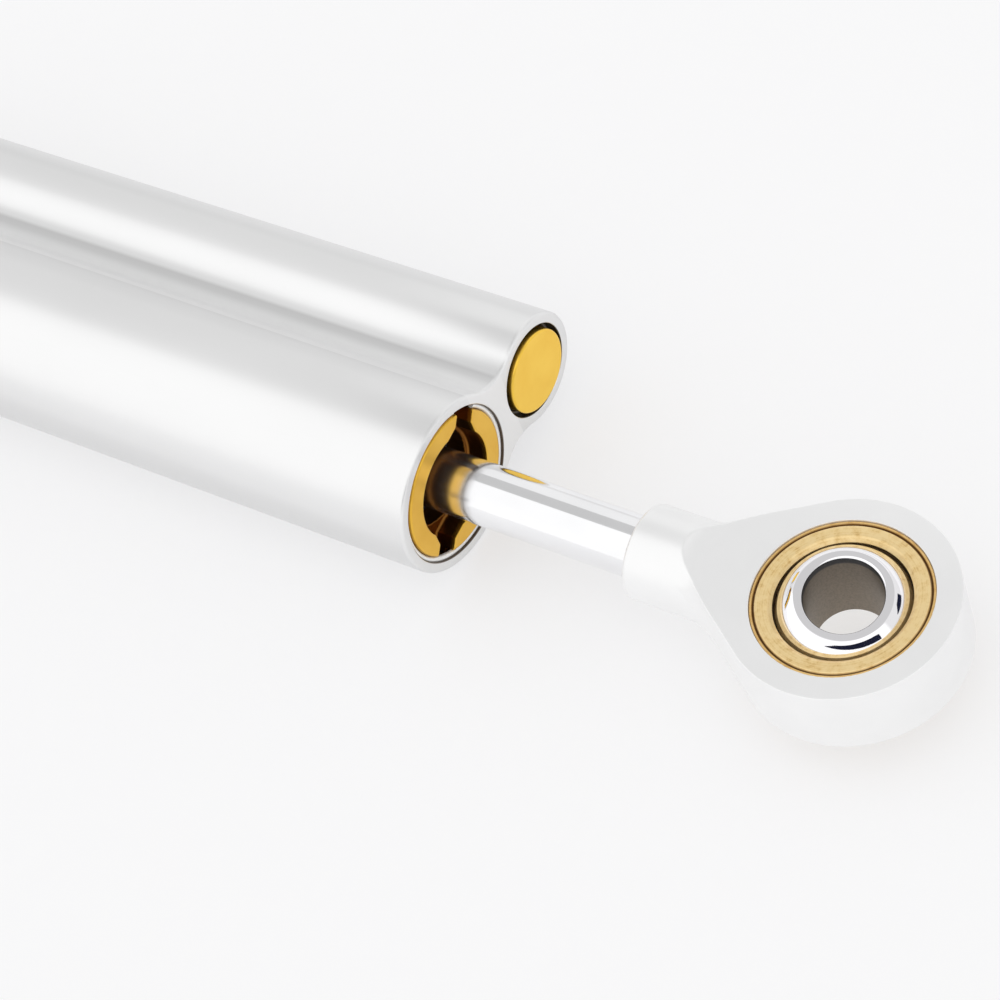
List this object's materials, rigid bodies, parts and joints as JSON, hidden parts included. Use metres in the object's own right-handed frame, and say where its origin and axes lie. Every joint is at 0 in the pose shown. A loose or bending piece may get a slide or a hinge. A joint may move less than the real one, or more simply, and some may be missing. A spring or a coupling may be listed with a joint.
{
  "type": "motorcycle steering damper",
  "caption": "Hydraulic steering damper: twin-tube alloy body with gold end fittings, a chrome sliding rod, a spherical rod end and a rear click adjuster.",
  "frame": {"origin": "centre of the rod-end bearing's bore", "axes": "+X along the rod away from the body, +Y from the main tube towards the reservoir tube, +Z through the rod end's eye, square to the plane of the two tubes"},
  "size_m": [0.216, 0.041, 0.0234],
  "materials": {
    "clear_anodised": "satin clear anodised",
    "machined_alloy": "fine machined, clear anodised",
    "gold_anodised": "gold anodised",
    "hard_chrome": "hard chrome, ground and polished",
    "polished_steel": "polished",
    "spring_steel": "dark spring wire",
    "bearing_brass": "satin brass",
    "bronze": "sintered bronze",
    "liner": "woven sliding liner, matte",
    "rubber": "matte black"
  },
  "bodies": {
    "housing": {"twin_tube_body": "clear_anodised", "seal_head": "gold_anodised", "seal_head_clip": "polished_steel", "seal_head_oring": "rubber", "wiper_seal": "rubber", "rod_seal": "rubber", "guide_bush": "bronze", "reservoir_plug": "gold_anodised", "reservoir_plug_clip": "spring_steel", "reservoir_plug_oring": "rubber", "rear_plug": "gold_anodised", "rear_plug_clip": "spring_steel", "rear_plug_oring": "rubber", "rear_head": "gold_anodised", "rear_head_clip": "polished_steel", "rear_head_orings": "rubber", "needle_seat": "bearing_brass", "detent_ball": "polished_steel", "detent_spring": "spring_steel", "compensator_spring": "spring_steel"},
    "band": {"piston_band": "bronze", "band_energiser": "rubber"},
    "rod": {"piston_rod": "hard_chrome", "piston": "machined_alloy", "front_shim": "spring_steel", "rear_shim": "spring_steel", "piston_nut": "polished_steel", "top_out_bumper": "rubber", "rod_end": "machined_alloy", "bearing_race": "bearing_brass"},
    "liner": {"bearing_liner": "liner"},
    "ball": {"bearing_ball": "polished_steel"},
    "adjuster": {"adjuster_knob": "gold_anodised", "adjuster_screw": "polished_steel", "knob_screw": "polished_steel"},
    "needle": {"adjuster_needle": "polished_steel", "needle_oring": "rubber"},
    "separator": {"separator_piston": "machined_alloy", "separator_oring": "rubber"}
  },
  "joints": [
    {"name": "rod_slide", "type": "slide", "parent": "housing", "child": "band", "axis": [1, 0, 0], "range_m": [-0.024, 0.051]},
    {"name": "rod_turn", "type": "hinge", "parent": "band", "child": "rod", "pos_m": [0, 0, 0], "axis": [1, 0, 0], "continuous": true},
    {"name": "liner_spin", "type": "hinge", "parent": "rod", "child": "liner", "pos_m": [0, 0, 0], "axis": [0, 0, 1], "continuous": true},
    {"name": "ball_tilt", "type": "hinge", "parent": "liner", "child": "ball", "pos_m": [0, 0, 0], "axis": [0.5878, 0.809, 0], "range_deg": [-22, 2]},
    {"name": "adjuster_turn", "type": "hinge", "parent": "housing", "child": "adjuster", "pos_m": [-0.1924, 0, 0], "axis": [1, 0, 0], "range_deg": [-360, 360]},
    {"name": "needle_travel", "type": "slide", "parent": "housing", "child": "needle", "axis": [1, 0, 0], "range_m": [-0.00051, 0.00051]},
    {"name": "separator_slide", "type": "slide", "parent": "housing", "child": "separator", "axis": [1, 0, 0], "range_m": [-0.0227, 0.0107], "deforming": ["compensator_spring"]}
  ],
  "couplings": [
    {"joint": "needle_travel", "follows": "adjuster_turn", "m_per_rad": 0.000079577},
    {"joint": "separator_slide", "follows": "rod_slide", "ratio": -0.44444}
  ]
}
